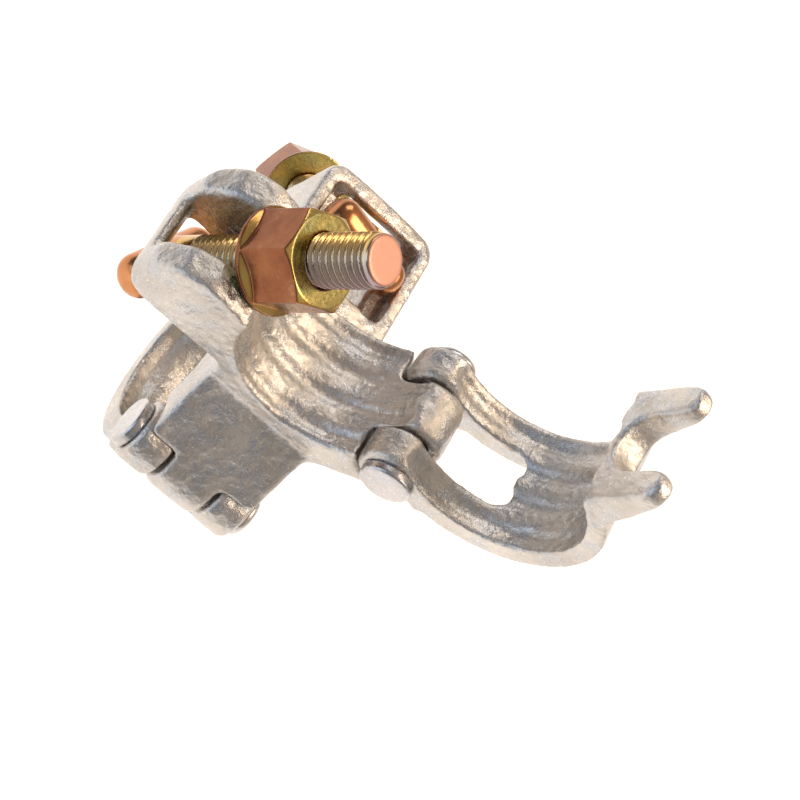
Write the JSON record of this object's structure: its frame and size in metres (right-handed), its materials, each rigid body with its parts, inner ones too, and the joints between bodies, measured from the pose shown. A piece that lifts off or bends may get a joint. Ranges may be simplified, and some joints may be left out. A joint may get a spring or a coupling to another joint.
{
  "type": "right-angle scaffold coupler clamp",
  "caption": "Drop-forged right-angle scaffold coupler: a body with two crossed tube saddles, hinged flaps on rivets, and T-bolts with flange nuts.",
  "frame": {"origin": "middle of the lower clamp, on the axis of the lower tube", "axes": "+X along the lower tube's axis, +Y along the upper tube's axis, +Z from the lower tube to the upper tube"},
  "size_m": [0.1264, 0.1339, 0.1646],
  "materials": {
    "galvanised_forging": "hot-dip galvanised drop forging, satin with a fine grain",
    "rivet_steel": "smooth zinc-coated rivet, brighter than the forging",
    "yellow_zinc_bolt": "yellow chromate over zinc, iridescent gold to copper pink",
    "yellow_zinc_nut": "yellow chromate over zinc, iridescent olive to copper brown"
  },
  "bodies": {
    "body": {"coupler_body": "galvanised_forging"},
    "upper_flap": {"upper_flap": "galvanised_forging", "upper_hinge_rivet": "rivet_steel"},
    "lower_flap": {"lower_flap": "galvanised_forging", "lower_hinge_rivet": "rivet_steel"},
    "upper_bolt": {"upper_t_bolt": "yellow_zinc_bolt"},
    "lower_bolt": {"lower_t_bolt": "yellow_zinc_bolt"},
    "upper_nut": {"upper_flange_nut": "yellow_zinc_nut"},
    "lower_nut": {"lower_flange_nut": "yellow_zinc_nut"}
  },
  "joints": [
    {"name": "upper_flap_hinge", "type": "hinge", "parent": "body", "child": "upper_flap", "pos_m": [0.0304, 0, 0.0554], "axis": [0, -1, 0], "range_deg": [0, 99.5]},
    {"name": "upper_bolt_swing", "type": "hinge", "parent": "body", "child": "upper_bolt", "pos_m": [-0.0384, 0, 0.0402], "axis": [0, -1, 0], "range_deg": [0, 40.01]},
    {"name": "upper_nut_run", "type": "slide", "parent": "upper_bolt", "child": "upper_nut", "axis": [0.342, 0, 0.9397], "range_m": [0, 0.019]},
    {"name": "lower_flap_hinge", "type": "hinge", "parent": "body", "child": "lower_flap", "pos_m": [0, -0.0304, 0.0086], "axis": [-1, 0, 0], "range_deg": [0, 108]},
    {"name": "lower_bolt_swing", "type": "hinge", "parent": "body", "child": "lower_bolt", "pos_m": [0, 0.0424, 0.0329], "axis": [-0.9836, -0.1801, 0], "range_deg": [0, 37.98]},
    {"name": "lower_nut_run", "type": "slide", "parent": "lower_bolt", "child": "lower_nut", "axis": [0.1132, -0.5484, 0.8285], "range_m": [0, 0.0076]}
  ],
  "couplings": [
    {"joint": "upper_bolt_swing", "follows": "upper_flap_hinge", "ratio": 0.40201},
    {"joint": "upper_nut_run", "follows": "upper_flap_hinge", "m_per_rad": 0.01094}
  ]
}
